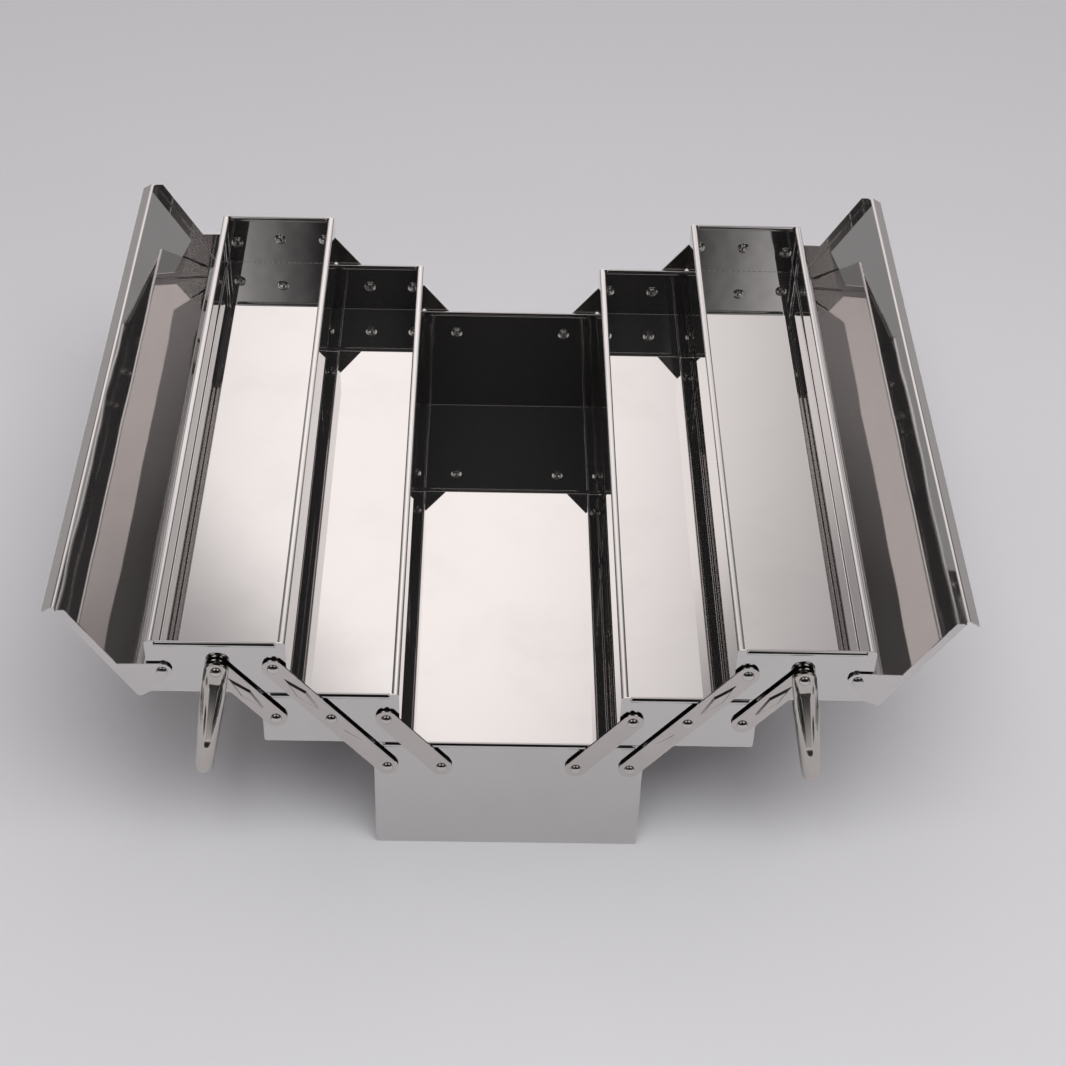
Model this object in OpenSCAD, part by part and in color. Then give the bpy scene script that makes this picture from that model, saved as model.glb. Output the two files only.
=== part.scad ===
// A stainless steel cantilever tool box with five trays, shown fully open.
// It stands on its bottom box. X runs from left to right, Y from front to back and Z up.
// The origin is the middle of the underside of the bottom box.
// Everything on the right is the mirror image of the left, so the left side is drawn
// and the right side is turned over from it.

/* [Boxes] */
// Length of the bottom box and of the trays, front to back
body_l = 550; // [300:10:700]
// Width of the bottom box
body_w = 200; // [180:5:260]
// Height of the bottom box
bottom_h = 110; // [90:1:180]
// Height of each tray
tray_h = 49.5; // [44:0.5:70]
// Gap between a tray and the one below it
stack_gap = 0.4; // [0.2:0.1:1]
// Gap between the left and right trays when they are shut
centre_gap = 1; // [0.5:0.5:4]
// Thickness of the sheet steel
sheet_t = 0.8; // [0.6:0.1:1.2]

/* [Bends and rims] */
// Outer radius of a bend in the sheet
bend_r = 2; // [1.6:0.1:2.4]
// Width of the rim that is folded inward along each long wall
rim_w = 5.5; // [5:0.5:9]
// Depth of the lip at the rim's inner edge, which is turned down
rim_lip = 3.5; // [3:0.5:6]
// How far the rolled top edge of an end panel stands out
hem_out = 1.2; // [1.1:0.1:2]
// Height of the rolled top edge of an end panel
hem_h = 4.5; // [4:0.5:7]
// Plain corner left beside each end of the rolled edge
hem_inset = 6.5; // [4:0.5:12]
// Depth of the flanges that weld an end panel to the long walls
flange_d = 12; // [8:1:20]

/* [Linkage] */
// Distance from a tray's long side to its nearest pivot
pivot_inset = 10; // [9.5:0.5:16]
// Height of the pivots above the underside of their tray
pivot_h = 26; // [20:1:32]
// Width of a link
link_w = 16; // [12:1:17]
// Thickness of a link
link_t = 1.2; // [0.8:0.1:2]
// Clearance between a rolled edge and the links and lids that cross it
hem_clear = 0.2; // [0.1:0.1:1]

/* [Rivets] */
// Diameter of a pivot rivet
rivet_d = 5; // [4:0.5:6]
// Diameter of a rivet's domed outer head
head_d = 8; // [7:0.5:10]
// Height of a rivet's domed outer head
head_h = 1.6; // [1:0.1:2]
// Diameter of the flat dome that closes a rivet inside the tray
inner_head_d = 9; // [8:0.5:11]
// Height of the flat dome that closes a rivet inside the tray
inner_head_h = 1.2; // [0.8:0.1:2]
// Diameter of the washers
washer_d = 10; // [9:0.5:12]
// Clearance all round a rivet in its hole
bore_gap = 0.05; // [0.02:0.01:0.1]
// Side play between a moving piece and the washer or rivet head beside it
side_gap = 0.1; // [0.05:0.05:0.2]

/* [Lids] */
// Angle through which a lid swings from shut to open
lid_swing = 121.5; // [100:0.1:124]
// Distance from a top tray's outer side to its lid's pivot
lid_pivot_inset = 11; // [9:0.5:16]
// Height of a lid's pivot above the underside of its tray
lid_pivot_h = 21.9; // [18:0.1:28]
// Clearance between a lid's panel and the rim's corner that it swings over
lid_clear = 0.3; // [0.2:0.1:5]
// Gap between a shut lid's lip and the long outer wall of its tray
lid_gap = 0.4; // [0.2:0.1:2]
// Distance from a shut lid's free edge to the middle of the box
lid_centre_gap = 1; // [1:0.5:4]
// Height of the flange along a lid's free edge
lid_flange = 10; // [6:1:16]
// Depth of the flange along a lid's hinge side
lid_lip = 4; // [3:0.5:4]
// Depth of the strip that a lid's end cheek makes along the panel
cheek_strip = 7; // [5:0.5:10]
// Radius of the ear around a lid's pivot
ear_r = 7; // [6:0.5:8]
// Angle from upright of the cheek's edge between ear and strip
cheek_lean = 30.3; // [20:0.1:45]
// How far the cheek's strip stops short of the lid's free edge
cheek_end = 3; // [2.5:0.5:8]

/* [Handles] */
// Outer diameter of a handle's tube
handle_d = 14; // [12:0.5:18]
// Wall of a handle's tube
handle_wall = 1; // [0.8:0.1:1.1]
// Distance from a handle's pivots to the middle of its bar
handle_drop = 100; // [85:1:115]
// Radius of a handle's bends, along the middle of the tube
handle_bend = 14; // [12:1:24]
// Thickness of a handle's flattened end
handle_flat_t = 2.4; // [2.4:0.1:3.5]
// Width of a handle's flattened end
handle_flat_w = 18; // [17:0.5:21]
// Height of a handle's flattened end above its pivot
handle_ear = 7; // [6:0.5:9]
// Radius of the corners of a handle's flattened end
handle_corner = 4; // [2:0.5:5]
// Angle from plumb at which a handle hangs
handle_tilt = 9; // [0:1:12]

/* [Hidden] */
$fn = 64;
hull_sides = 32;

// A bottom box pivot counts as level 0, the middle trays are level 1 and the top trays level 2.
half_w = body_w / 2;
half_l = body_l / 2;
tray_w = half_w - centre_gap / 2;
level_rise = tray_h + stack_gap;
// Each link steps this far sideways between two pivots, outward when open, inward when shut.
link_reach = half_w / 2 - pivot_inset;
function tray_x(level) = -half_w - level * 2 * link_reach;
function tray_z(level) = bottom_h + stack_gap + (level - 1) * level_rise;
// Pivots are counted from the outer side of their tray: 0, 1 and 2. A top tray's pivot 0 is its
// lid's, which sits lower.
function on_tray(level, n) = level == 2 && n == 0
    ? [lid_pivot_inset, lid_pivot_h] : [pivot_inset + n * link_reach, pivot_h];
function pivot(level, n) = [tray_x(level), tray_z(level)] + on_tray(level, n);

// Distances outward from the outer face of the end panels.
link_off = hem_out + hem_clear;
spacer_t = link_off - side_gap;
link_head_off = link_off + link_t + side_gap;
cheek_head_off = link_off + sheet_t + side_gap;
// The washer lifts a handle clear of the lid's rivet, which the handle passes over.
handle_washer_t = sheet_t + head_h + side_gap - link_t;
handle_off = link_head_off + handle_washer_t + side_gap;
handle_head_off = handle_off + handle_flat_t + side_gap;
hole_r = rivet_d / 2 + bore_gap;
hem_r = (hem_out + sheet_t) / 2;

// Places on a shut lid, measured inward and up from its pivot.
rim_corner = norm([lid_pivot_inset - bend_r, tray_h - bend_r - lid_pivot_h]) + bend_r;
lid_top = rim_corner + lid_clear + sheet_t;
lid_outer = -lid_pivot_inset - lid_gap - sheet_t;
lid_inner = half_w - lid_pivot_inset - lid_centre_gap;
lid_half_l = half_l + link_off + sheet_t;
strip_low = lid_top - cheek_strip;
ear_run = (strip_low + ear_r * sin(cheek_lean)) * tan(cheek_lean);
strip_start = ear_r * cos(cheek_lean) + ear_run;

// Places along a handle's leg, measured down from its pivot.
flat_share = 0.7;
handle_flat_l = flat_share * handle_flat_w;
taper_end = handle_drop - handle_bend - handle_d / 3;
slot_t = handle_flat_t - 2 * handle_wall;
slot_w = handle_flat_w - 2 * handle_wall;
skin = 0.1;

dark_steel = "#8f8c8b";
pale_steel = "#b9b6b5";
bright_steel = "#d4d0ce";

// Turns what is drawn for the left side over to the right side.
module on_side(side) {
    mirror([side == "right" ? 1 : 0, 0, 0]) children();
}

// Puts what is drawn at the front end, outer face at zero and outward along -Y, at either end.
module at_end(end) {
    mirror([0, end == "back" ? 1 : 0, 0]) translate([0, -half_l, 0]) children();
}

// Stands an outline up in the plane of the end panels, thick outward from a distance.
module plate(off, thick) {
    translate([0, -off, 0]) rotate([90, 0, 0]) linear_extrude(height = thick) children();
}

// Runs an outline of the Y and Z plane along X.
module run_along_x(length) {
    rotate([90, 0, 90]) linear_extrude(height = length) children();
}

// A quarter of a ring, for a bend in the sheet. Quarter 0 faces right and up, and they go round
// anticlockwise.
module quarter_bend(quarter) {
    rotate(quarter * 90) intersection() {
        difference() {
            circle(r = bend_r);
            circle(r = bend_r - sheet_t);
        }
        square(bend_r);
    }
}

// Half of a channel: half the floor, a long wall, and its rim folded inward and down.
module half_channel(w, h) {
    translate([bend_r, 0]) square([w / 2 - bend_r, sheet_t]);
    translate([bend_r, bend_r]) quarter_bend(2);
    translate([0, bend_r]) square([sheet_t, h - 2 * bend_r]);
    translate([bend_r, h - bend_r]) quarter_bend(1);
    translate([bend_r, h - sheet_t]) square([rim_w - 2 * bend_r, sheet_t]);
    translate([rim_w - bend_r, h - bend_r]) quarter_bend(0);
    translate([rim_w - sheet_t, h - rim_lip]) square([sheet_t, rim_lip - bend_r]);
}

// The floor and both long walls of a box or tray, bent from one sheet.
module shell(w, h) {
    rotate([90, 0, 0]) linear_extrude(height = body_l - 2 * sheet_t, center = true) {
        half_channel(w, h);
        translate([w, 0]) mirror([1, 0]) half_channel(w, h);
    }
}

// The outline of an end panel, rounded like the shell that it closes.
module panel_outline(w, h) {
    translate([0, bend_r]) square([w, h - 2 * bend_r]);
    translate([bend_r, 0]) square([w - 2 * bend_r, h]);
    for (x = [bend_r, w - bend_r])
        for (z = [bend_r, h - bend_r])
            translate([x, z]) circle(r = bend_r);
}

// The rolled top edge of an end panel: the sheet turns over outward and hangs down.
module hem_outline(h) {
    translate([-hem_out, h - hem_h]) square([sheet_t, hem_h - hem_r]);
    translate([sheet_t - hem_r, h - hem_r]) intersection() {
        difference() {
            circle(r = hem_r);
            circle(r = hem_r - sheet_t);
        }
        translate([-hem_r, 0]) square([2 * hem_r, hem_r]);
    }
}

// An end panel with its rolled edge, weld flanges and rivet holes.
module end_panel(w, h, pivots_at) {
    hem_l = w - 2 * hem_inset;
    flange_h = h - rim_lip - 2 * bend_r;
    difference() {
        union() {
            difference() {
                plate(-sheet_t, sheet_t) panel_outline(w, h);
                translate([hem_inset, -sheet_t, h - hem_r]) cube([hem_l, 3 * sheet_t, hem_h]);
            }
            translate([hem_inset, 0, 0]) run_along_x(hem_l) hem_outline(h);
            for (x = [sheet_t, w - 2 * sheet_t])
                translate([x, 0, bend_r]) cube([sheet_t, flange_d, flange_h]);
        }
        for (p = pivots_at)
            translate([p[0], sheet_t * 2, p[1]]) rotate([90, 0, 0])
                cylinder(r = hole_r, h = sheet_t * 3);
    }
}

// A shallow dome on a flat base, as on a rivet's head.
module dome(d, h) {
    ball_r = (d * d / 4 + h * h) / (2 * h);
    rotate_extrude() intersection() {
        translate([0, h - ball_r]) circle(r = ball_r);
        square([d / 2, h]);
    }
}

// One pivot rivet through an end panel, its outer head resting at a distance outward.
module rivet(p, head_off) {
    translate([p[0], 0, p[1]]) rotate([90, 0, 0]) {
        translate([0, 0, -sheet_t]) cylinder(d = rivet_d, h = head_off + sheet_t);
        translate([0, 0, head_off]) dome(head_d, head_h);
        translate([0, 0, -sheet_t]) mirror([0, 0, 1]) dome(inner_head_d, inner_head_h);
    }
}

// A washer round a pivot, from a distance outward.
module washer(p, off, thick) {
    translate([p[0], 0, p[1]]) plate(off, thick) difference() {
        circle(d = washer_d);
        circle(r = hole_r);
    }
}

// A flat link with round ends through two or three pivots, drawn straight and then turned.
module link(points) {
    first = points[0];
    way = points[len(points) - 1] - first;
    plate(link_off, link_t) translate(first) rotate(atan2(way[1], way[0])) difference() {
        union() {
            translate([0, -link_w / 2]) square([norm(way), link_w]);
            circle(d = link_w);
            translate([norm(way), 0]) circle(d = link_w);
        }
        for (p = points) translate([norm(p - first), 0]) circle(r = hole_r);
    }
}

// The bent outline of a shut lid: hinge lip, panel and the upturned flange at its free edge.
module lid_outline() {
    translate([lid_outer, lid_top - lid_lip]) square([sheet_t, lid_lip - bend_r]);
    translate([lid_outer + bend_r, lid_top - bend_r]) quarter_bend(1);
    translate([lid_outer + bend_r, lid_top - sheet_t])
        square([lid_inner - lid_outer - 2 * bend_r, sheet_t]);
    translate([lid_inner - bend_r, lid_top - sheet_t + bend_r]) quarter_bend(3);
    translate([lid_inner - sheet_t, lid_top - sheet_t + bend_r])
        square([sheet_t, lid_flange - bend_r]);
}

// A lid's end cheek: the ear round the pivot and the strip along the panel.
module cheek_outline() {
    difference() {
        union() {
            circle(r = ear_r);
            polygon([
                [-ear_r, 0],
                [lid_outer, strip_low - ear_r / 2],
                [lid_outer, lid_top - bend_r],
                [lid_inner - cheek_end, lid_top - bend_r],
                [lid_inner - 2 * cheek_end, strip_low],
                [strip_start, strip_low],
                [ear_r * cos(cheek_lean), -ear_r * sin(cheek_lean)]
            ]);
        }
        circle(r = hole_r);
    }
}

// A shut lid about its pivot.
module shut_lid() {
    rotate([90, 0, 0]) linear_extrude(height = 2 * (lid_half_l - bend_r), center = true)
        lid_outline();
    for (end = ["front", "back"]) at_end(end) {
        plate(link_off, sheet_t) cheek_outline();
        translate([lid_outer + bend_r, -link_off - sheet_t + bend_r, lid_top - bend_r])
            run_along_x(lid_inner - cheek_end - lid_outer - bend_r) quarter_bend(1);
    }
}

// The outline of a handle's flattened end, with rounded upper corners.
module handle_ear_outline() {
    half = handle_flat_w / 2;
    translate([-half, -handle_flat_l])
        square([handle_flat_w, handle_flat_l + handle_ear - handle_corner]);
    translate([handle_corner - half, 0]) square([2 * (half - handle_corner), handle_ear]);
    for (x = [handle_corner - half, half - handle_corner])
        translate([x, handle_ear - handle_corner]) circle(r = handle_corner);
}

// One end of a handle, hanging from its pivot: flattened part, taper, leg and bend. A wall of
// zero gives the outside, and the tube's wall gives the hollow inside.
module handle_end(wall) {
    r = handle_d / 2 - wall;
    flat_t = handle_flat_t - 2 * wall;
    flat_w = handle_flat_w - 2 * wall;
    leg_y = -handle_off - handle_d / 2;
    translate([-flat_w / 2, -handle_off - handle_flat_t + wall, -handle_flat_l])
        cube([flat_w, flat_t, handle_flat_l]);
    hull() {
        translate([-flat_w / 2, -handle_off - handle_flat_t + wall, -handle_flat_l])
            cube([flat_w, flat_t, skin]);
        translate([0, leg_y, -taper_end - skin]) cylinder(r = r, h = skin, $fn = hull_sides);
    }
    translate([0, leg_y, -handle_drop + handle_bend])
        cylinder(r = r, h = handle_drop - handle_bend - taper_end);
    translate([0, leg_y + handle_bend, -handle_drop + handle_bend])
        rotate([90, 0, 90]) rotate(180) rotate_extrude(angle = 90)
            translate([handle_bend, 0]) circle(r = r);
}

// The straight bar of a handle between its two bends.
module handle_bar(wall) {
    length = 2 * (half_l + handle_off + handle_d / 2 - handle_bend);
    translate([0, length / 2, -handle_drop]) rotate([90, 0, 0])
        cylinder(r = handle_d / 2 - wall, h = length);
}

// A whole handle hanging plumb from its pivots: a tube whose ends are pressed flat.
module plumb_handle() {
    difference() {
        union() {
            handle_bar(0);
            for (end = ["front", "back"]) at_end(end) {
                handle_end(0);
                plate(handle_off, handle_flat_t) handle_ear_outline();
            }
        }
        handle_bar(handle_wall);
        for (end = ["front", "back"]) at_end(end) {
            handle_end(handle_wall);
            plate(handle_off - handle_wall, handle_flat_t + 2 * handle_wall)
                circle(r = hole_r);
        }
    }
}

// Pieces of the bottom box.
bottom_pivots = [for (side = [-1, 1]) for (n = [0, 1])
    [half_w + side * (half_w - on_tray(0, n)[0]), pivot(0, n)[1]]];

module bottom_shell() {
    color(bright_steel) translate([-half_w, 0, 0]) shell(body_w, bottom_h);
}

module bottom_end(end) {
    color(pale_steel) at_end(end) translate([-half_w, 0, 0])
        end_panel(body_w, bottom_h, bottom_pivots);
}

module bottom_washers() {
    color(dark_steel)
        for (end = ["front", "back"]) for (p = bottom_pivots)
            at_end(end) translate([-half_w, 0, 0]) washer(p, 0, spacer_t);
}

module bottom_rivets() {
    color(bright_steel)
        for (end = ["front", "back"]) for (p = bottom_pivots)
            at_end(end) translate([-half_w, 0, 0]) rivet(p, link_head_off);
}

// Pieces of a tray at level 1 or 2.
module tray_shell(side, level) {
    color(bright_steel) on_side(side) translate([tray_x(level), 0, tray_z(level)])
        shell(tray_w, tray_h);
}

module tray_end(side, level, end) {
    pivots = [for (n = [0, 1, 2]) on_tray(level, n)];
    color(pale_steel) on_side(side) at_end(end)
        translate([tray_x(level), 0, tray_z(level)]) end_panel(tray_w, tray_h, pivots);
}

module tray_washers(side, level) {
    color(dark_steel) on_side(side)
        for (end = ["front", "back"]) for (n = [0, 1, 2])
            at_end(end) washer(pivot(level, n), 0, spacer_t);
}

module mid_rivets(side) {
    color(bright_steel) on_side(side)
        for (end = ["front", "back"]) for (n = [0, 1, 2])
            at_end(end) rivet(pivot(1, n), link_head_off);
}

// A top tray's rivets carry a lid, a short link with a handle, and a long link.
module top_rivets(side) {
    heads = [cheek_head_off, handle_head_off, link_head_off];
    color(bright_steel) on_side(side)
        for (end = ["front", "back"]) for (n = [0, 1, 2])
            at_end(end) rivet(pivot(2, n), heads[n]);
}

// The links. A long link joins all three levels, and the short ones join two each.
module long_link(side, end) {
    color(pale_steel) on_side(side) at_end(end) link([pivot(0, 0), pivot(1, 1), pivot(2, 2)]);
}

module lower_link(side, end) {
    color(pale_steel) on_side(side) at_end(end) link([pivot(0, 1), pivot(1, 2)]);
}

module upper_link(side, end) {
    color(pale_steel) on_side(side) at_end(end) link([pivot(1, 0), pivot(2, 1)]);
}

module handle_washers(side) {
    color(dark_steel) on_side(side)
        for (end = ["front", "back"])
            at_end(end) washer(pivot(2, 1), link_head_off, handle_washer_t);
}

module lid(side) {
    p = pivot(2, 0);
    color(bright_steel) on_side(side)
        translate([p[0], 0, p[1]]) rotate([0, -lid_swing, 0]) shut_lid();
}

module handle(side) {
    p = pivot(2, 1);
    color(pale_steel) on_side(side)
        translate([p[0], 0, p[1]]) rotate([0, handle_tilt, 0]) plumb_handle();
}

bottom_shell();
bottom_end("front");  // bottom_front_end
bottom_end("back");  // bottom_back_end
bottom_washers();
bottom_rivets();
tray_shell("left", 1);  // left_mid_shell
tray_end("left", 1, "front");  // left_mid_front_end
tray_end("left", 1, "back");  // left_mid_back_end
tray_washers("left", 1);  // left_mid_washers
mid_rivets("left");  // left_mid_rivets
tray_shell("left", 2);  // left_top_shell
tray_end("left", 2, "front");  // left_top_front_end
tray_end("left", 2, "back");  // left_top_back_end
tray_washers("left", 2);  // left_top_washers
top_rivets("left");  // left_top_rivets
long_link("left", "front");  // left_long_link_front
long_link("left", "back");  // left_long_link_back
lower_link("left", "front");  // left_lower_link_front
lower_link("left", "back");  // left_lower_link_back
upper_link("left", "front");  // left_upper_link_front
upper_link("left", "back");  // left_upper_link_back
handle_washers("left");  // left_handle_washers
lid("left");  // left_lid
handle("left");  // left_handle
tray_shell("right", 1);  // right_mid_shell
tray_end("right", 1, "front");  // right_mid_front_end
tray_end("right", 1, "back");  // right_mid_back_end
tray_washers("right", 1);  // right_mid_washers
mid_rivets("right");  // right_mid_rivets
tray_shell("right", 2);  // right_top_shell
tray_end("right", 2, "front");  // right_top_front_end
tray_end("right", 2, "back");  // right_top_back_end
tray_washers("right", 2);  // right_top_washers
top_rivets("right");  // right_top_rivets
long_link("right", "front");  // right_long_link_front
long_link("right", "back");  // right_long_link_back
lower_link("right", "front");  // right_lower_link_front
lower_link("right", "back");  // right_lower_link_back
upper_link("right", "front");  // right_upper_link_front
upper_link("right", "back");  // right_upper_link_back
handle_washers("right");  // right_handle_washers
lid("right");  // right_lid
handle("right");  // right_handle
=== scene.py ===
# %% [markdown]
# A cantilever tool box of mirror polished stainless sheet, shown fully open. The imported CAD
# model is the fixed frame: it says where every piece is and which body carries it. This
# script gives the pieces their finish, and builds the ones whose shape needs more than the
# CAD solids give: the handles with their pressed ends, the pressed lenses of the links, the
# rivet heads, and the end panels with their rolled edges.

# %% Load the frame
import math

import bmesh
import bpy
import numpy as np
from mathutils import Matrix, Vector


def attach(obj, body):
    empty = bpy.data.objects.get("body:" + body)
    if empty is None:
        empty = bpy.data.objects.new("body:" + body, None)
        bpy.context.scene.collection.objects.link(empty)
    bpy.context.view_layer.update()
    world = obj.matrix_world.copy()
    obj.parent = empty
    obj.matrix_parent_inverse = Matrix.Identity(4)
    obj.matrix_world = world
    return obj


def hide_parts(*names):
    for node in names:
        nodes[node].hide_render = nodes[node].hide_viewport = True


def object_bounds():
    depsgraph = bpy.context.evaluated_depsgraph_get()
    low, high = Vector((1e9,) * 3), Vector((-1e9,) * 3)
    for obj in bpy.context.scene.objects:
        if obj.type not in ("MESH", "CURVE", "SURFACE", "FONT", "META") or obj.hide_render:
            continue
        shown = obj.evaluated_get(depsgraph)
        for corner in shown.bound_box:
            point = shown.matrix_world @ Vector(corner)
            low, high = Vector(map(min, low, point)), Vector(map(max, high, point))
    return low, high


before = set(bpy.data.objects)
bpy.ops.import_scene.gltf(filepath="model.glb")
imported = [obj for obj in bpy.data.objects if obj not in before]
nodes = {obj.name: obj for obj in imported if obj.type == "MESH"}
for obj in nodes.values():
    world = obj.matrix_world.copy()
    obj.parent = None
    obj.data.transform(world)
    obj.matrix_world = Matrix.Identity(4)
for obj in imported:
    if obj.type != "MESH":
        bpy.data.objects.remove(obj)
scene = bpy.context.scene
cad_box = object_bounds()
mm = 0.001
print("nodes:", len(nodes), "box in mm:", [[round(v / mm, 1) for v in c] for c in cad_box])

# %% [markdown]
# The camera. Its place was worked out from about forty points of the photograph, such as
# corners of the trays, set against the same points of the model: it looks down by 41 degrees
# from 1.8 metres away with a long lens. A camera turned by its three own directions, right,
# up and back, is exact and needs no constraint.

# %% Camera
photo_px = 1066
focal_px = 2157.6
sensor_mm = 36.0
look_down, look_aside, tilt = 0.7158, 0.0288, 0.0352
camera_far = 1.8219
aim = Vector((0.02007, 0.0, 0.0775))

ahead = Vector((
    math.sin(look_aside) * math.cos(look_down),
    math.cos(look_aside) * math.cos(look_down),
    -math.sin(look_down),
))
level_right = ahead.cross(Vector((0, 0, 1))).normalized()
level_up = level_right.cross(ahead)
right = math.cos(tilt) * level_right + math.sin(tilt) * level_up
up = -math.sin(tilt) * level_right + math.cos(tilt) * level_up

camera_data = bpy.data.cameras.new("camera")
camera_data.lens = focal_px / photo_px * sensor_mm
camera_data.sensor_width = sensor_mm
camera_data.clip_start, camera_data.clip_end = 0.05, 50
camera = bpy.data.objects.new("camera", camera_data)
camera.matrix_world = Matrix.Translation(aim - camera_far * ahead) @ Matrix(
    (right, up, -ahead)
).transposed().to_4x4()
scene.collection.objects.link(camera)
scene.camera = camera
scene.view_settings.view_transform = "Standard"
print("camera at", [round(v, 3) for v in camera.location], "lens", round(camera_data.lens, 1))


# %% [markdown]
# Node trees are long to write out, so small helpers make a node with its values, do one step
# of arithmetic, measure how far two values are apart, and pass smoothly between two values.
# The world and every material below are built with them.

# %% Node helpers
def add_node(tree, kind, links=None, **values):
    """Adds a node, sets its properties, and feeds its inputs from sockets or plain values."""
    node = tree.nodes.new(kind)
    for name, value in values.items():
        setattr(node, name, value)
    for name, value in (links or {}).items():
        socket = node.inputs[name]
        if isinstance(value, bpy.types.NodeSocket):
            tree.links.new(value, socket)
        else:
            socket.default_value = value
    return node


def maths(tree, operation, *values):
    """One step of arithmetic on sockets or numbers."""
    links = dict(enumerate(values))
    return add_node(tree, "ShaderNodeMath", links, operation=operation).outputs["Value"]


def apart(tree, value, centre):
    """How far a value lies from a centre, to either side."""
    return maths(tree, "ABSOLUTE", maths(tree, "SUBTRACT", value, centre))


def smooth_step(tree, value, low, high, to_low=0.0, to_high=1.0):
    """Passes smoothly from to_low to to_high as the value goes from low to high."""
    links = {"Value": value, "From Min": low, "From Max": high, "To Min": to_low,
             "To Max": to_high}
    return add_node(tree, "ShaderNodeMapRange", links, interpolation_type="SMOOTHSTEP",
                    clamp=True).outputs["Result"]


# %% [markdown]
# The studio. Polished metal has hardly any colour of its own: it shows what stands round it.
# The tray floors show a pale softbox that hangs behind and above, and the opened lids show a
# dimmer halo beside it. A world whose light depends only on the direction gives both, and it
# stays fixed in space as the camera moves. The directions are given as the angle round from
# the back, to the right, and the angle up from level, both in degrees.

# %% World
world = bpy.data.worlds.new("studio")
world.use_nodes = True
scene.world = world
tree = world.node_tree
way = tree.nodes.new("ShaderNodeTexCoord").outputs["Generated"]
part = add_node(tree, "ShaderNodeSeparateXYZ", {"Vector": way}).outputs
round_angle = maths(tree, "DEGREES", maths(tree, "ARCTAN2", part["X"], part["Y"]))
up_angle = maths(tree, "DEGREES", maths(tree, "ARCSINE", part["Z"]))

box_round, box_up = -2.2, 38.5
box_wide, box_high = 12.7, 16.8
off_round = maths(tree, "DIVIDE", maths(tree, "SUBTRACT", round_angle, box_round), box_wide)
off_up = maths(tree, "DIVIDE", maths(tree, "SUBTRACT", up_angle, box_up), box_high)
square_round = maths(tree, "MULTIPLY", off_round, off_round)
square_up = maths(tree, "MULTIPLY", off_up, off_up)
off_centre = maths(tree, "SQRT", maths(tree, "ADD", square_round, square_up))
softbox = smooth_step(tree, off_centre, 0.22, 1.41, 1.0, 0.0)

# A slanting line cuts the upper left of the softbox off.
cut_slope, cut_up = -0.96, 40.0
past_cut = maths(tree, "ADD", maths(tree, "MULTIPLY", round_angle, cut_slope),
                 maths(tree, "SUBTRACT", up_angle, cut_up))
softbox = maths(tree, "MULTIPLY", softbox, smooth_step(tree, past_cut, 7.5, 14.6, 1.0, 0.0))

# A dimmer halo on both sides of the softbox, which the opened lids show.
halo_round, halo_up = 26.0, 28.0
off_halo = apart(tree, apart(tree, round_angle, box_round), halo_round)
beside_box = smooth_step(tree, off_halo, 2.0, 12.0, 1.0, 0.0)
halo_height = smooth_step(tree, apart(tree, up_angle, halo_up), 6.0, 14.0, 1.0, 0.0)
halo = maths(tree, "MULTIPLY", beside_box, halo_height)

# The rest of the room is even, a little darker close to level and almost black at the sides.
ambient = smooth_step(tree, up_angle, 6.0, 20.0, 0.42, 0.53)
toward_side = smooth_step(tree, maths(tree, "ABSOLUTE", round_angle), 75.0, 95.0, 0.0, 0.92)
not_overhead = smooth_step(tree, up_angle, 32.0, 52.0, 1.0, 0.0)
side_dark = maths(tree, "MULTIPLY", toward_side, not_overhead)
ambient = maths(tree, "MULTIPLY", ambient, maths(tree, "SUBTRACT", 1.0, side_dark))
peak, halo_light = 0.94, 0.95
strength = maths(tree, "ADD", maths(tree, "MULTIPLY", softbox, peak), ambient)
strength = maths(tree, "ADD", maths(tree, "MULTIPLY", halo, halo_light), strength)
warm = maths(tree, "MAXIMUM", softbox, halo)
tint = add_node(tree, "ShaderNodeMix", {"Factor": warm, "A": (1.0, 0.955, 0.955, 1),
                "B": (1.0, 0.945, 0.925, 1)}, data_type="RGBA").outputs["Result"]
background = tree.nodes["Background"]
tree.links.new(tint, background.inputs["Color"])
tree.links.new(strength, background.inputs["Strength"])
print("world nodes:", len(tree.nodes))

# %% [markdown]
# Some parts of the studio are near, so they can't be part of the world: what a wall shows of
# them changes along the wall. A tall card behind the camera is dark, with a pale screen at
# each side, and the paper on the ground ends a little way before and beside the box, where
# dark cards take over. They draw the black lines along every edge that tilts toward the
# camera, the wide dark ends of the back walls, and the glint beside the dark spot in each
# rivet. Two grey cards behind the box darken what the lids show close to their hinges. Only
# reflections see the cards, so they light nothing and shade nothing.

# %% Cards that only reflections see
ground = cad_box[0].z + 0.002
card_far = 1.5
paper_near, paper_aside = -0.56, 0.46
black = 0.008


def studio_card(name, corners, glow_of):
    """A flat card through four corners in metres. Its glow is a function of place, given as
    the distance from the middle, the depth and the height above the floor."""
    mesh = bpy.data.meshes.new(name)
    mesh.from_pydata(corners, [], [(0, 1, 2, 3)])
    card = bpy.data.objects.new(name, mesh)
    scene.collection.objects.link(card)
    card.visible_camera = card.visible_diffuse = card.visible_shadow = False
    paper = bpy.data.materials.new(name)
    paper.use_nodes = True
    tree = paper.node_tree
    shader = tree.nodes["Principled BSDF"]
    place = tree.nodes.new("ShaderNodeTexCoord").outputs["Object"]
    part = add_node(tree, "ShaderNodeSeparateXYZ", {"Vector": place}).outputs
    glow = glow_of(tree, maths(tree, "ABSOLUTE", part["X"]), part["Y"], part["Z"])
    grey = add_node(tree, "ShaderNodeCombineColor", {"Red": glow, "Green": glow, "Blue": glow})
    tree.links.new(grey.outputs["Color"], shader.inputs["Emission Color"])
    shader.inputs["Emission Strength"].default_value = 1.0
    shader.inputs["Base Color"].default_value = (0, 0, 0, 1)
    shader.inputs["Specular IOR Level"].default_value = 0.0
    mesh.materials.append(paper)


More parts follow.
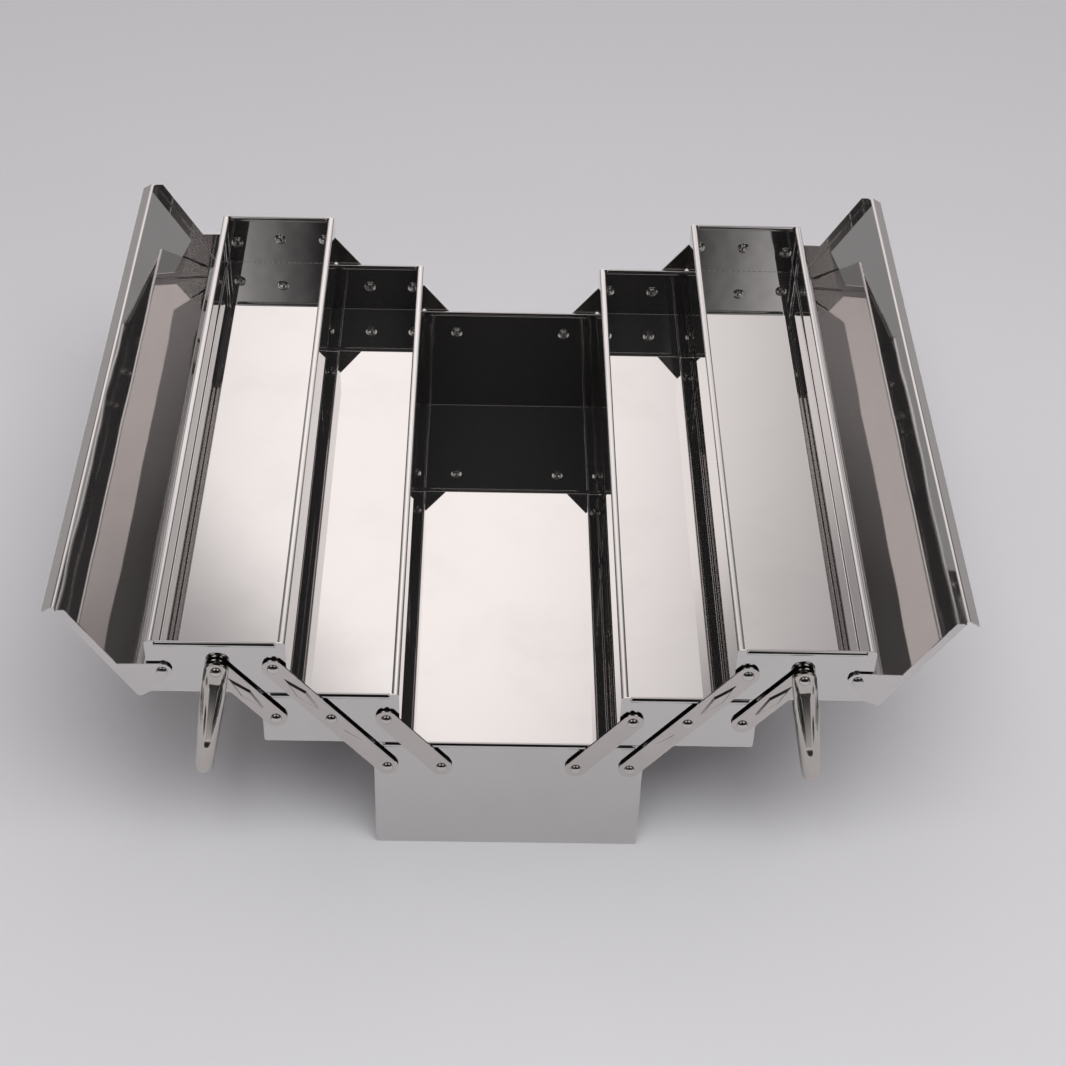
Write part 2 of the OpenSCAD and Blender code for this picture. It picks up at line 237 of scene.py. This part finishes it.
def upright(left, right, y, low, high):
    """The corners of an upright card across the view."""
    return [(left, y, low), (right, y, low), (right, y, high), (left, y, high)]


def flat(left, right, near, far):
    """The corners of a card lying just over the ground."""
    return [(left, near, ground), (right, near, ground), (right, far, ground),
            (left, far, ground)]


def screens(tree, aside, depth, height):
    """Dark in the middle, a screen from 0.3 to 1.5 metres aside, dark below and above it."""
    across = maths(tree, "MULTIPLY", smooth_step(tree, aside, 0.30, 0.72, black, 1.25),
                   smooth_step(tree, aside, 1.1, 1.5, 1.0, 0.42))
    level = maths(tree, "MULTIPLY", smooth_step(tree, height, 0.8, 1.2),
                  smooth_step(tree, height, 2.4, 3.0, 1.0, 0.0))
    return maths(tree, "MAXIMUM", maths(tree, "MULTIPLY", across, level), black)


def paper_end(tree, aside, depth, height):
    """As pale as the paper at its edge, and soon dark toward the camera."""
    return smooth_step(tree, depth, paper_near - 0.12, paper_near, 0.03, 0.55)


def side_end(tree, aside, depth, height):
    """As pale as the paper beside the box, and soon dark outward."""
    return smooth_step(tree, aside, paper_aside, paper_aside + 0.10, 0.5, 0.03)


def far_paper(tree, aside, depth, height):
    """The paper behind the box, in weaker light the farther it is."""
    return smooth_step(tree, depth, 0.7, 1.05, 0.5, 0.3)


def fading(tree, aside, depth, height):
    """Pale toward the middle and dark toward the outside."""
    return smooth_step(tree, aside, 0.64, 1.05, 0.8, 0.15)


studio_card("camera_side", upright(-card_far, card_far, -card_far, ground, 6.0), screens)
studio_card("front_ground", flat(-card_far, card_far, -card_far, paper_near), paper_end)
studio_card("left_ground", flat(-card_far, -paper_aside, paper_near, 0.0), side_end)
studio_card("right_ground", flat(paper_aside, card_far, paper_near, 0.0), side_end)
studio_card("back_ground", flat(-3.0, 3.0, 0.7, 3.0), far_paper)
studio_card("left_grey", upright(-1.9, -0.66, 1.2, 0.62, 1.5), fading)
studio_card("right_grey", upright(0.66, 1.9, 1.2, 0.62, 1.5), fading)

# %% [markdown]
# The floor is a plain pale sheet, far wider than the view. One large lamp above and in front
# of the box lights it evenly where the box's front shows it, and lays the soft shadow behind.
# The lamp is kept out of reflections, because the world already stands for it there.

# %% Floor and lamp
floor_half = 60.0
floor_mesh = bpy.data.meshes.new("floor")
corners = np.array([[-1, -1], [1, -1], [1, 1], [-1, 1]]) * floor_half
floor_mesh.from_pydata([(x, y, cad_box[0].z) for x, y in corners], [], [(0, 1, 2, 3)])
floor = bpy.data.objects.new("floor", floor_mesh)
scene.collection.objects.link(floor)

paper = bpy.data.materials.new("paper_floor")
paper.use_nodes = True
tree = paper.node_tree
paper_shader = tree.nodes["Principled BSDF"]
place = tree.nodes.new("ShaderNodeTexCoord").outputs["Object"]
fleck = add_node(tree, "ShaderNodeTexNoise", {"Vector": place, "Scale": 2.0, "Detail": 4.0})
tone = add_node(tree, "ShaderNodeMix", {"Factor": fleck.outputs["Fac"],
                "A": (0.71, 0.71, 0.735, 1), "B": (0.73, 0.73, 0.755, 1)}, data_type="RGBA")
tree.links.new(tone.outputs["Result"], paper_shader.inputs["Base Color"])
paper_shader.inputs["Roughness"].default_value = 0.9
paper_shader.inputs["Specular IOR Level"].default_value = 0.1
floor_mesh.materials.append(paper)

lamp_data = bpy.data.lights.new("softbox", "AREA")
lamp_data.shape = "RECTANGLE"
lamp_data.size, lamp_data.size_y = 2.4, 1.8
lamp_data.energy = 46
lamp = bpy.data.objects.new("softbox", lamp_data)
lamp.location = (0.3, -1.2, 2.6)
lamp.rotation_euler = (aim - lamp.location).to_track_quat("-Z", "Y").to_euler()
lamp.visible_glossy = False
scene.collection.objects.link(lamp)
print("floor at", round(cad_box[0].z, 4), "lamp", lamp_data.energy, "W")

# %% [markdown]
# The polished sheet. A hand polished sheet is never quite flat: bending and spot welding
# leave shallow waves, which make the reflections swim by a fraction of a degree. Over them
# lie smudges that dull the mirror in patches, and hair scratches. Each is a shader group, so
# that every metal here can use them with its own values.


# %% Waves, smudges and scratches as groups
def new_group(name, inputs, outputs):
    """An empty shader group with number inputs and outputs, and its two end nodes."""
    group = bpy.data.node_groups.new(name, "ShaderNodeTree")
    for label, value in inputs.items():
        kind = "NodeSocketVector" if value is None else "NodeSocketFloat"
        socket = group.interface.new_socket(label, in_out="INPUT", socket_type=kind)
        if value is not None:
            socket.default_value = value
    for label in outputs:
        group.interface.new_socket(label, in_out="OUTPUT", socket_type="NodeSocketFloat")
    return group, group.nodes.new("NodeGroupInput").outputs, group.nodes.new("NodeGroupOutput")


def noise(tree, place, scale, detail=2.0, stretch=(1, 1, 1)):
    """Soft noise from 0 to 1, its spots stretched by dividing the pattern's axes."""
    moved = add_node(tree, "ShaderNodeMapping", {"Vector": place, "Scale": stretch})
    return add_node(tree, "ShaderNodeTexNoise", {"Vector": moved.outputs["Vector"],
                    "Scale": scale, "Detail": detail}).outputs["Fac"]


waves, given, result = new_group("sheet_waves", {"Vector": None, "Ripple": 0.25}, ["Height"])
broad = noise(waves, given["Vector"], 7.0, 1.0)
ripple = noise(waves, given["Vector"], 45.0, 1.0, (1, 0.35, 1))
height = maths(waves, "ADD", broad, maths(waves, "MULTIPLY", ripple, given["Ripple"]))
waves.links.new(height, result.inputs["Height"])

smudges, given, result = new_group("smudges", {"Vector": None, "Size": 9.0}, ["Mask"])
cloud = add_node(smudges, "ShaderNodeTexNoise", {"Vector": given["Vector"],
                 "Scale": given["Size"], "Detail": 5.0, "Roughness": 0.6}).outputs["Fac"]
smudges.links.new(smooth_step(smudges, cloud, 0.45, 0.75), result.inputs["Mask"])

scratches, given, result = new_group("hair_scratches", {"Vector": None, "Scale": 1.0}, ["Mask"])
strokes = []
for turn, stretch in ((0.4, (900, 14, 900)), (-0.9, (700, 9, 700)), (1.4, (800, 11, 800))):
    turned = add_node(scratches, "ShaderNodeMapping", {"Vector": given["Vector"],
                      "Rotation": (turn * 0.3, turn * 0.5, turn), "Scale": stretch})
    fine = add_node(scratches, "ShaderNodeTexNoise", {"Vector": turned.outputs["Vector"],
                    "Scale": given["Scale"], "Detail": 1.0}).outputs["Fac"]
    strokes.append(smooth_step(scratches, fine, 0.70, 0.80))
joined = maths(scratches, "MAXIMUM", strokes[0], maths(scratches, "MAXIMUM", strokes[1],
                                                       strokes[2]))
scratches.links.new(joined, result.inputs["Mask"])
print("groups:", [g.name for g in (waves, smudges, scratches)])


# %% [markdown]
# One recipe makes all the metals. Colour is the share of light that the metal gives back,
# roughness blurs the mirror, and both change a little under smudges and scratches. A bump
# from the waves bends the reflections. What differs between polished sheet, satin links and
# drawn tube is only how much of each there is.

# %% Metals
def use_group(tree, group, links):
    """Places a group in a material and gives its first output."""
    return add_node(tree, "ShaderNodeGroup", links, node_tree=group).outputs[0]


def metal(name, colour, rough, dull=0.03, wave=0.06, ripple=0.12, scratch=0.02, grain=0.0,
          grain_axes=(1, 1, 1), haze=0.002):
    """A metal: rough is its clean roughness, dull what smudges add, scratch what scratches
    add, wave the depth of the waves in millimetres, grain that of a drawn grain, and haze the
    share of the light that dust and fine wear scatter."""
    material = bpy.data.materials.new(name)
    material.use_nodes = True
    tree = material.node_tree
    shader = tree.nodes["Principled BSDF"]
    shader.inputs["Metallic"].default_value = 1.0 - haze
    place = tree.nodes.new("ShaderNodeTexCoord").outputs["Object"]
    smudge = use_group(tree, smudges, {"Vector": place, "Size": 9.0})
    hair = use_group(tree, scratches, {"Vector": place, "Scale": 1.0})
    darker = tuple(c * 0.94 for c in colour)
    tone = add_node(tree, "ShaderNodeMix", {"Factor": smudge, "A": (*colour, 1),
                    "B": (*darker, 1)}, data_type="RGBA")
    tree.links.new(tone.outputs["Result"], shader.inputs["Base Color"])
    roughness = maths(tree, "ADD", maths(tree, "MULTIPLY", smudge, dull), rough)
    roughness = maths(tree, "ADD", maths(tree, "MULTIPLY", hair, scratch), roughness)
    tree.links.new(roughness, shader.inputs["Roughness"])
    height = use_group(tree, waves, {"Vector": place, "Ripple": ripple})
    bump = add_node(tree, "ShaderNodeBump", {"Height": height, "Distance": wave * mm,
                    "Strength": 1.0})
    if grain:
        lines = noise(tree, place, 1.0, 2.0, grain_axes)
        bump = add_node(tree, "ShaderNodeBump", {"Height": lines, "Distance": grain * mm,
                        "Strength": 1.0, "Normal": bump.outputs["Normal"]})
    tree.links.new(bump.outputs["Normal"], shader.inputs["Normal"])
    return material


finishes = {
    "polished_sheet": metal("polished_sheet", (0.63, 0.615, 0.61), 0.01, 0.02, wave=0.04,
                            ripple=0.05, haze=0.035),
    "polished_ends": metal("polished_ends", (0.63, 0.615, 0.61), 0.03, wave=0.12, ripple=0.55),
    "polished_lid": metal("polished_lid", (0.63, 0.61, 0.605), 0.03, wave=0.5, ripple=0.1,
                          haze=0.045),
    "link_steel": metal("link_steel", (0.575, 0.54, 0.52), 0.09, 0.08, 0.08, 0.4, 0.1, 0.008,
                        (300, 300, 300)),
    "handle_tube": metal("handle_tube", (0.56, 0.53, 0.50), 0.11, 0.08, 0.05, 0.5, 0.08, 0.006,
                         (400, 400, 30)),
    "rivet_steel": metal("rivet_steel", (0.62, 0.60, 0.58), 0.10, 0.05, 0.02),
    "washer_steel": metal("washer_steel", (0.50, 0.49, 0.48), 0.3, 0.1, 0.02),
}
for piece in nodes.values():
    for place in piece.material_slots:
        place.material = finishes[place.material.name.split(".")[0]]
print("metals:", ", ".join(finishes))

# %% [markdown]
# Main sizes, repeated from the model's source, in millimetres. The pivots of the linkage lie
# on three levels, each 40 further out and 49.9 higher than the last. A lid's pivot is the
# first of its tray's. Everything is worked out for the left side and the front, and mirrored
# over for the others.

# %% Main sizes
half_l = 275.0
pivots = {"bottom": ((-90, 86.5), (-50, 86.5)),
          "mid": ((-170, 136.4), (-130, 136.4), (-90, 136.4)),
          "top": ((-249, 182.2), (-210, 186.3), (-170, 186.3))}
sheet_t = 0.8
link_front = 2.6
handle_face = 4.1
handle_drop, handle_bend, tube_r = 100.0, 14.0, 7.0
handle_tilt = math.radians(9)
mirror_x = {"left": 1.0, "right": -1.0}
mirror_y = {"front": 1.0, "back": -1.0}


# %% [markdown]
# New pieces are grids of points. Rows follow one another along the piece and each row runs
# once round its section, so faces join every point to its neighbour in the row and in the
# next row. A closed skin has its doubles merged and its faces turned outward afterwards,
# because mirroring turns it inside out.

# %% Grids to meshes
def between(value, low, high):
    """Zero below low, one above high, and a smooth rise between them: 3t^2 - 2t^3."""
    t = np.clip((value - low) / (high - low), 0, 1)
    return t * t * (3 - 2 * t)


def skin(name, grids, body, slot, stands_for=None, sharp=30):
    """Makes a piece from grids of points in millimetres. Each grid is a closed skin of its
    own, its first and last row closed with a face."""
    faces, start = [], 0
    for grid in grids:
        index = start + np.arange(grid[..., 0].size).reshape(grid.shape[:2])
        after = np.roll(index, -1, axis=1)
        quads = np.stack([index[:-1], after[:-1], after[1:], index[1:]], axis=-1)
        faces += quads.reshape(-1, 4).tolist()
        faces += [index[0][::-1].tolist(), index[-1].tolist()]
        start += index.size
    points = np.concatenate([grid.reshape(-1, 3) for grid in grids]) * mm
    mesh = bpy.data.meshes.new(name)
    mesh.from_pydata(points.tolist(), [], faces)
    work = bmesh.new()
    work.from_mesh(mesh)
    bmesh.ops.remove_doubles(work, verts=work.verts, dist=0.001 * mm)
    bmesh.ops.recalc_face_normals(work, faces=work.faces)
    work.to_mesh(mesh)
    work.free()
    mesh.polygons.foreach_set("use_smooth", np.ones(len(mesh.polygons), dtype=bool))
    mesh.set_sharp_from_angle(angle=math.radians(sharp))
    mesh.materials.append(finishes[slot])
    piece = bpy.data.objects.new(name, mesh)
    scene.collection.objects.link(piece)
    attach(piece, body)
    if stands_for:
        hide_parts(stands_for)
    return piece


# %% [markdown]
# A handle is one tube, bent twice. Each end is pressed: the outer side of the tube is pushed
# in until it meets the inner side, which leaves a flat bottomed valley between two round
# rims, wide at the riveted end and closing in a round nose further down. Bending a round tube
# and sculpting its ends would be slow. Instead every section is the same kind of outline, a
# stadium of half width a and half depth b, whose outer side is lowered by the valley. Where a
# and b are equal, the stadium is the plain round tube.

# %% Section of a handle
def stadium(a, b, count):
    """Points round a stadium of half width a and half depth b, evenly spaced along each
    quarter: first along the straight outer side, then round the end's circle of radius b."""
    turn = 4 * np.arange(count) / count
    quarter = np.floor(turn)
    share = np.where(quarter % 2 == 0, turn - quarter, 1 - (turn - quarter))
    straight = (a - b)[:, None]
    run = share * (straight + b[:, None] * math.pi / 2)
    angle = np.maximum(run - straight, 0) / b[:, None]
    x = np.minimum(run, straight) + b[:, None] * np.sin(angle)
    y = b[:, None] * np.cos(angle)
    right_half = np.where(quarter < 2, 1, -1)
    outer_half = np.where((quarter == 0) | (quarter == 3), 1, -1)
    return x * right_half, y * outer_half


def pressed_sections(down, count):
    """Sections of a leg at distances down from the pivot. Half width, half depth and the
    valley's half width and floor are smooth functions of that distance."""
    ear_top, ear_round = -7.0, 6.5
    ear_deep, rim_rise, seat_deep = 2.6, 2.2, 2.4
    nose = 68.0
    a = np.interp(down, [0, 25, 60, 84], [8.8, 9.2, 8.1, tube_r])
    past_corner = np.clip(ear_top + ear_round - down, 0, ear_round)
    a = a - ear_round + np.sqrt(ear_round ** 2 - past_corner ** 2)
    taper = 2 * tube_r - ear_deep - rim_rise
    deep = ear_deep + rim_rise * between(down, -5, 9) + taper * between(down, 4, 62)
    floor_level = np.interp(down, [0, 12, 60], [seat_deep, seat_deep, 2 * tube_r - 2.0])
    half_wide = np.interp(down, [0, 14, 60], [7.2, 7.4, 4.2])
    half_wide = half_wide * (1 - 0.4 * between(down, nose - 8, nose))
    x, y = stadium(a, deep / 2, count)
    valley = np.maximum(deep - floor_level, 0) * (1 - between(down, nose - 8, nose + 1))
    spread = np.clip(np.abs(x) / half_wide[:, None], 0, 1)
    # Level as far as the rivet's head reaches, so that the head rests on a flat seat
    level = np.interp(down, [5, 16], [0.62, 0.35])[:, None]
    y = np.where(y > 0, y - valley[:, None] * (1 - between(spread, level, 1)), y)
    return x, y, deep / 2


# %% [markdown]
# The sections are set along the tube's middle line: down the leg, round the bend and along
# half of the bar. On the leg the inner side stays flush, so the middle line moves outward as
# the tube grows deeper. The back half is the front half mirrored, and the whole handle then
# leans outward by nine degrees, as it hangs.

# %% Handles
around = 96
leg_down = np.concatenate([np.linspace(-7, -3, 9), np.linspace(-2, 86, 112)])
x_leg, y_leg, half_deep = pressed_sections(leg_down, around)
leg = np.stack([x_leg, -(half_l + handle_face + half_deep[:, None] + y_leg),
                np.repeat(-leg_down[:, None], around, axis=1)], axis=-1)

angle = np.linspace(0, math.pi / 2, 14)[1:, None]
ones = np.full(len(angle), tube_r)
x_round, y_round = stadium(ones, ones, around)
arm = handle_bend + y_round
leg_line = half_l + handle_face + tube_r
bend = np.stack([x_round, -(leg_line - handle_bend + arm * np.cos(angle)),
                 -(handle_drop - handle_bend + arm * np.sin(angle))], axis=-1)
half_handle = np.concatenate([leg, bend])
whole = np.concatenate([half_handle, half_handle[::-1] * (1, -1, 1)])

for side, flip in mirror_x.items():
    px, pz = pivots["top"][1]
    x, y, z = whole[..., 0], whole[..., 1], whole[..., 2]
    turned = np.stack([flip * (px + x * math.cos(handle_tilt) + z * math.sin(handle_tilt)), y,
                       pz - x * math.sin(handle_tilt) + z * math.cos(handle_tilt)], axis=-1)
    piece = skin(f"{side}_handle_tube", [turned], f"{side}_handle", "handle_tube",
                 f"{side}_handle")
    print(piece.name, "faces", len(piece.data.polygons))

# %% [markdown]
# The links are stiffened by a long lens pressed outward between each two rivets. It stands
# clear on the upper links and on the upper half of the long links, and only faintly on the
# others. The lens is a thin skin laid on the link's flat face, rising from it without a step.
# A boolean on the link would leave a hard outline there, where the pressed sheet has none.

# %% Pressed links
def pressed_lens(height, count=49):
    """Rows across a lens, down the link from the upper pivot. Its half width grows straight
    from zero to its widest and shrinks again, and its height is a smooth step of the distance
    in from that outline."""
    down = np.linspace(12, 51.5, 100)
    half = np.interp(down, [12, 13, 31.5, 50, 51.5], [-0.4, 0, 4.2, 0.5, -0.4])[:, None]
    reach = np.maximum(half + 0.5, 0.05)
    across = np.linspace(-1, 1, count) * reach
    rise = link_front + 0.005 + height * between(half - np.abs(across), -0.48, 1.4)
    across = np.concatenate([across, reach, -reach], axis=1)
    out = np.concatenate([rise, np.full((len(down), 2), link_front - 0.05)], axis=1)
    return np.repeat(down[:, None], count + 2, axis=1), across, out


link_step = (40.0, -49.9)
link_far = math.hypot(*link_step)
along = np.array(link_step) / link_far
lenses = {"upper": [(pivots["top"][1], 1.25)],
          "long": [(pivots["top"][2], 1.25), (pivots["mid"][1], 0.4)],
          "lower": [(pivots["mid"][2], 0.25)]}
for side, flip in mirror_x.items():
    for end, front in mirror_y.items():
        for kind, places in lenses.items():
            grids = []
            for (px, pz), height in places:
                down, across, out = pressed_lens(height)
                x = flip * (px + down * along[0] - across * along[1])
                z = pz + down * along[1] + across * along[0]
                grids.append(np.stack([x, -front * (half_l + out), z], axis=-1))
            piece = skin(f"{side}_{kind}_lens_{end}", grids, f"{side}_{kind}_links",
                         "link_steel", sharp=60)
print("lens faces", len(piece.data.polygons))


# %% [markdown]
# Rivets. The outer heads are round domes. The inner heads were upset with a hollow punch: a
# flat skirt round a raised ring with a dimple. Both are turned shapes, so each is a profile of
# radius and height, swept once round the pivot. They sit over the plainer heads of the model.
# On a top tray the three pivots carry a lid, a link with a handle, and a long link, so their
# heads stand at different heights.

# %% Rivet heads
def turned_head(profile, x, z, front):
    """Sweeps rows of radius and distance out from the end of the box round a pivot."""
    turn = 2 * math.pi * np.arange(40) / 40
    radius, out = profile[:, :1], profile[:, 1:]
    return np.stack([x + radius * np.cos(turn), -front * (half_l + out + 0 * turn),
                     z + radius * np.sin(turn)], axis=-1)


def dome(base, height):
    """The profile of a head: a short upright edge, then a quarter of an ellipse."""
    rise = np.linspace(0, 1, 14)[:, None] * (math.pi / 2 - 0.01)
    out = base + head_edge + (height - head_edge) * np.sin(rise)
    curve = np.concatenate([head_r * np.cos(rise), out], axis=1)
    return np.concatenate([[[head_r, base]], curve])


head_r, head_edge = 4.05, 0.3
wall_in = -sheet_t
inner_head = np.array([(5.4, 0), (5.3, 0.22), (5.0, 0.38), (3.9, 0.42), (3.4, 0.6), (3.2, 0.95),
                       (2.9, 1.15), (2.5, 1.25), (2.0, 1.2), (1.5, 0.9), (1.0, 0.62),
                       (0.03, 0.5)]) * (1, -1) + (0, wall_in)
head_bases = {"bottom": ((2.7, 2.2), (2.7, 2.2)),
              "mid": ((2.7, 2.2), (2.7, 2.2), (2.7, 2.2)),
              "top": ((2.3, 1.65), (6.6, 2.2), (2.7, 1.7))}
for side, flip in mirror_x.items():
    for level, places in pivots.items():
        heads = []
        for (px, pz), (base, height) in zip(places, head_bases[level]):
            for front in mirror_y.values():
                heads += [turned_head(dome(base, height), flip * px, pz, front),
                          turned_head(inner_head, flip * px, pz, front)]
        body = "bottom_box" if level == "bottom" else f"{side}_{level}_tray"
        skin(f"{side}_{level}_rivet_heads", heads, body, "rivet_steel", sharp=45)
print("heads on the last tray", len(heads))


# %% [markdown]
# The end panels. The top edge of each is rolled into a bead, thicker than the plain hem of the
# model. The roll is open at its ends, where the photograph shows small black holes. Inside,
# a weld flange lies along each long wall. Spot welding has pulled its free edge out of line,
# so it shows as a thin wavy line beside each corner. The panel meets the floor in a fine bead
# of weld.

# %% End panels
def bar(low, high, y, z, thick, tall, hollow, lumps=0.0):
    """A bar along the width from low to high, of half thickness thick and half height tall:
    the section is an ellipse. A hollow bar has its ends turned in, and lumps vary its size
    along it by a sum of two waves."""
    turn = 2 * math.pi * np.arange(32) / 32
    section_y, section_z = np.cos(turn), np.sin(turn)
    x = np.linspace(low, high, 80)
    size = 1 + lumps * (np.sin(1.3 * x) + np.sin(2.9 * x + 1))
    if hollow:
        x = np.concatenate([[low + 4, low, low + 0.3, low + 1.2], x[1:-1],
                            [high - 1.2, high - 0.3, high, high - 4]])
        size = np.concatenate([[0.6, 0.6, 0.85, 1], size[1:-1], [1, 0.85, 0.6, 0.6]])
    return np.stack([x[:, None] + 0 * turn, y + thick * size[:, None] * section_y,
                     z + tall * size[:, None] * section_z], axis=-1)


def upright_sheet(x, z, out, back, front):
    """A flat sheet across the width: the closed outline x, z at two distances out."""
    return np.stack([np.stack([x, np.full(len(x), -front * (half_l + o)), z], axis=-1)
                     for o in (out, back)])


def panel_sheets(low, high, under, top, front):
    """The panel with its rounded corners and the gap for the roll, and the two weld flanges.
    A flange is 12 deep and its edge wanders by a sum of two sine waves, with a flat oval rod
    along it for the rounded edge."""
    r = corner_r
    q = np.linspace(0, math.pi / 2, 6)
    left, right, foot, head = low + r, high - r, under + r, top - r
    gap_x = [high - hem_inset, high - hem_inset, low + hem_inset, low + hem_inset]
    gap_z = [top, top - hem_tall / 2, top - hem_tall / 2, top]
    x = np.concatenate([left - r * np.cos(q), right + r * np.sin(q), right + r * np.cos(q),
                        gap_x, left - r * np.sin(q)])
    z = np.concatenate([foot - r * np.sin(q), foot - r * np.cos(q), head + r * np.sin(q),
                        gap_z, head + r * np.cos(q)])
    sheets = [upright_sheet(x, z, 0, wall_in, front)]
    turn = 2 * math.pi * np.arange(16) / 16
    low_end, high_end = under + corner_r, top - flange_gap
    up = np.linspace(low_end, high_end, 60)
    for wall, inward in ((low, 1), (high, -1)):
        edge = -flange_deep - 1.1 * np.sin(0.11 * up + wall) - 0.5 * np.sin(0.29 * up)
        out = np.concatenate([edge, [-sheet_t / 2, -sheet_t / 2]])
        z = np.concatenate([up, [high_end, low_end]])
        sheets.append(np.stack([np.stack([np.full(len(z), wall + inward * x),
                                          -front * (half_l + out), z], axis=-1)
                                for x in (sheet_t, 2 * sheet_t)]))
        x = wall + inward * (2 * sheet_t + 0.5 * np.cos(turn)) + 0 * up[:, None]
        y = -front * (half_l + edge[:, None] + 0.9 * np.sin(turn))
        sheets.append(np.stack([x, y, up[:, None] + 0 * x], axis=-1))
    return sheets


hem_out, hem_in, hem_tall, hem_inset = 1.3, 2.4, 4.6, 6.6
corner_r, flange_deep, flange_gap = 2, 12, 5.5
weld_r, weld_up = 0.32, 0.8
tray_wide, tray_tall = 99.5, 49.5
trays = {"bottom_box": ("bottom", -100, 100, 0.0, 110.0)}
for side, flip in mirror_x.items():
    for level, outer, under in (("mid", -180, 110.4), ("top", -260, 160.3)):
        ends = sorted((flip * outer, flip * (outer + tray_wide)))
        trays[f"{side}_{level}_tray"] = (f"{side}_{level}", *ends, under, under + tray_tall)
for body, (label, low, high, under, top) in trays.items():
    for end, front in mirror_y.items():
        middle = -front * (half_l + (hem_out - hem_in) / 2)
        roll = bar(low + hem_inset, high - hem_inset, middle, top - hem_tall / 2,
                   (hem_out + hem_in) / 2, hem_tall / 2, True)
        skin(f"{label}_{end}_roll", [roll], body, "polished_ends", sharp=40)
        skin(f"{label}_{end}_panel", panel_sheets(low, high, under, top, front), body,
             "polished_ends", f"{label}_{end}_end")
    welds = [bar(low + corner_r, high - corner_r, -front * (half_l + wall_in), under + weld_up,
                 weld_r, weld_r, False, 0.12) for front in mirror_y.values()]
    skin(f"{label}_welds", welds, body, "polished_ends")
print("rolled edges on", len(trays), "trays")
